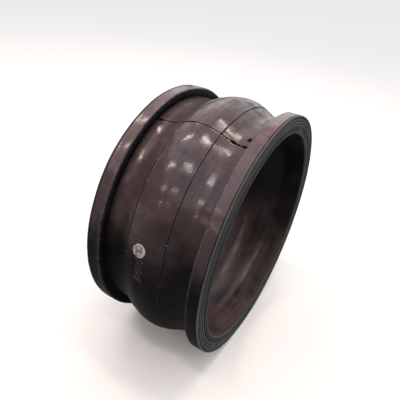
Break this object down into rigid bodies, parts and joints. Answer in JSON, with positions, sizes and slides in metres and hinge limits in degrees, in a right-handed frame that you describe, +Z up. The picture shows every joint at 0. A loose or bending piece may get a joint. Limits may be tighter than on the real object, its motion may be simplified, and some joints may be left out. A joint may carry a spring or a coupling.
{
  "type": "rubber expansion joint",
  "caption": "Large rubber expansion joint for a pipe line: one flexible arch between two flanged beads with grooved sealing faces, standing on its rims.",
  "frame": {"origin": "on the floor under the middle of the bore, where the joint stands on its two rims", "axes": "+X along the bore from end A to end B, +Z up, +Y across"},
  "size_m": [0.434, 0.9174, 0.912],
  "materials": {
    "cover_rubber": "worn satin, dusty",
    "face_rubber": "matt, grooved",
    "tube_rubber": "smooth satin",
    "filler_rubber": "matt",
    "ply_cord": "rubberised nylon cord",
    "core_steel": "brass-plated bead wire",
    "disc_metal": "dull, blank"
  },
  "bodies": {
    "end_a": {"end_a_sealing_face": "face_rubber", "end_a_tube": "tube_rubber", "end_a_bead_plies": "ply_cord", "end_a_bead_core": "core_steel", "end_a_bead_filler": "filler_rubber", "end_a_rim_cover": "cover_rubber", "end_a_neck_cover": "cover_rubber"},
    "flank_a": {"flank_a_tube": "tube_rubber", "flank_a_plies": "ply_cord", "flank_a_cover": "cover_rubber"},
    "crown_a": {"crown_a_tube": "tube_rubber", "crown_a_plies": "ply_cord", "crown_a_cover": "cover_rubber", "identity_disc": "disc_metal"},
    "crown_b": {"crown_b_tube": "tube_rubber", "crown_b_plies": "ply_cord", "crown_b_cover": "cover_rubber"},
    "flank_b": {"flank_b_tube": "tube_rubber", "flank_b_plies": "ply_cord", "flank_b_cover": "cover_rubber"},
    "end_b": {"end_b_sealing_face": "face_rubber", "end_b_tube": "tube_rubber", "end_b_bead_plies": "ply_cord", "end_b_bead_core": "core_steel", "end_b_bead_filler": "filler_rubber", "end_b_rim_cover": "cover_rubber", "end_b_neck_cover": "cover_rubber"}
  },
  "joints": [
    {"name": "axial_travel", "type": "slide", "parent": "end_a", "child": "flank_a", "axis": [1, 0, 0], "range_m": [-0.026, 0.018], "stiffness_N_per_m": 450000, "deforming": ["flank_a_tube", "flank_a_plies", "flank_a_cover"]},
    {"name": "sideways_offset", "type": "slide", "parent": "flank_a", "child": "crown_a", "axis": [0, 1, 0], "range_m": [-0.024, 0.024], "stiffness_N_per_m": 500000, "deforming": ["crown_a_tube", "crown_a_plies", "crown_a_cover"]},
    {"name": "vertical_offset", "type": "slide", "parent": "crown_a", "child": "crown_b", "axis": [0, 0, 1], "range_m": [-0.024, 0.024], "stiffness_N_per_m": 500000, "deforming": ["crown_b_tube", "crown_b_plies", "crown_b_cover"]},
    {"name": "pitch_tilt", "type": "hinge", "parent": "crown_b", "child": "flank_b", "pos_m": [0, 0, 0.45327], "axis": [0, 1, 0], "range_deg": [-3.3, 3.3], "stiffness_Nm_per_rad": 3500, "deforming": ["flank_b_tube", "flank_b_plies", "flank_b_cover"]},
    {"name": "yaw_tilt", "type": "hinge", "parent": "flank_b", "child": "end_b", "pos_m": [0, 0, 0.45327], "axis": [0, 0, 1], "range_deg": [-3.3, 3.3], "stiffness_Nm_per_rad": 3500}
  ]
}
